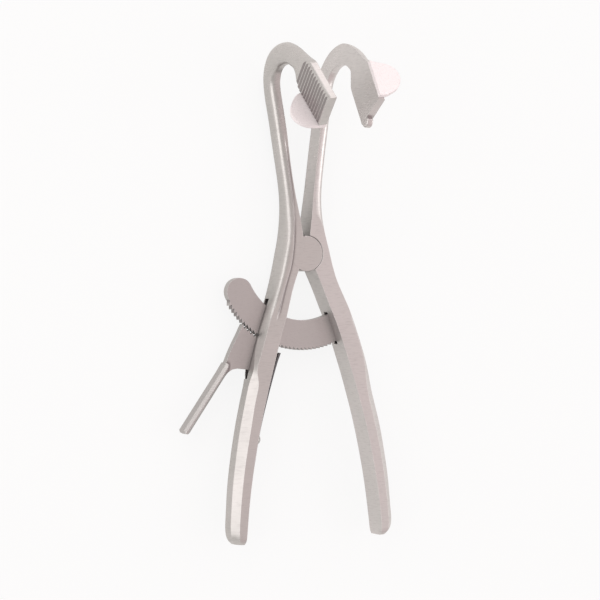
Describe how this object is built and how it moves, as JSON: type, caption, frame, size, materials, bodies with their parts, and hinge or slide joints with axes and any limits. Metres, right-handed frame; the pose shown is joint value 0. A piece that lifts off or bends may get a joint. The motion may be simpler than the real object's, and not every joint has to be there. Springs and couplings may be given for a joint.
{
  "type": "mouth gag",
  "caption": "Self-retaining mouth gag: two hooked arms on a lap joint, grooved jaws with bite flanges, toothed arc bar and sprung pawl lever.",
  "frame": {"origin": "On the handle pivot axis, in the flat back of the joint, which lies on the table plane Z = 0.", "axes": "+X toward the right arm, +Y along the length with the jaws at the top, +Z out of the front face, the way the hooks and jaws reach."},
  "size_m": [0.0856, 0.1881, 0.0542],
  "materials": {
    "arm_steel": "satin, fine crosswise brushing",
    "bar_steel": "fine matt",
    "spring_steel": "satin",
    "pin_steel": "ground flush and polished",
    "flange_steel": "satin, bright"
  },
  "bodies": {
    "left_lever": {"left_arm": "arm_steel", "joint_pin": "pin_steel", "pawl_pin": "pin_steel", "leaf_spring": "spring_steel", "spring_screw": "pin_steel", "spring_peg": "pin_steel", "left_bite_flange": "flange_steel"},
    "right_lever": {"right_arm": "arm_steel", "ratchet_bar": "bar_steel", "ratchet_rivet": "pin_steel", "right_bite_flange": "flange_steel"},
    "pawl": {"pawl_lever": "bar_steel"}
  },
  "joints": [
    {"name": "handle_pivot", "type": "hinge", "parent": "left_lever", "child": "right_lever", "pos_m": [0, 0, 0], "axis": [0, 0, 1], "range_deg": [-24, 16.6]},
    {"name": "pawl_pivot", "type": "hinge", "parent": "left_lever", "child": "pawl", "pos_m": [-0.01801, -0.03661, 0], "axis": [0, 0, 1], "range_deg": [0, 7], "stiffness_Nm_per_rad": 0.12, "springref_deg": -6.88, "deforming": ["leaf_spring"]}
  ]
}
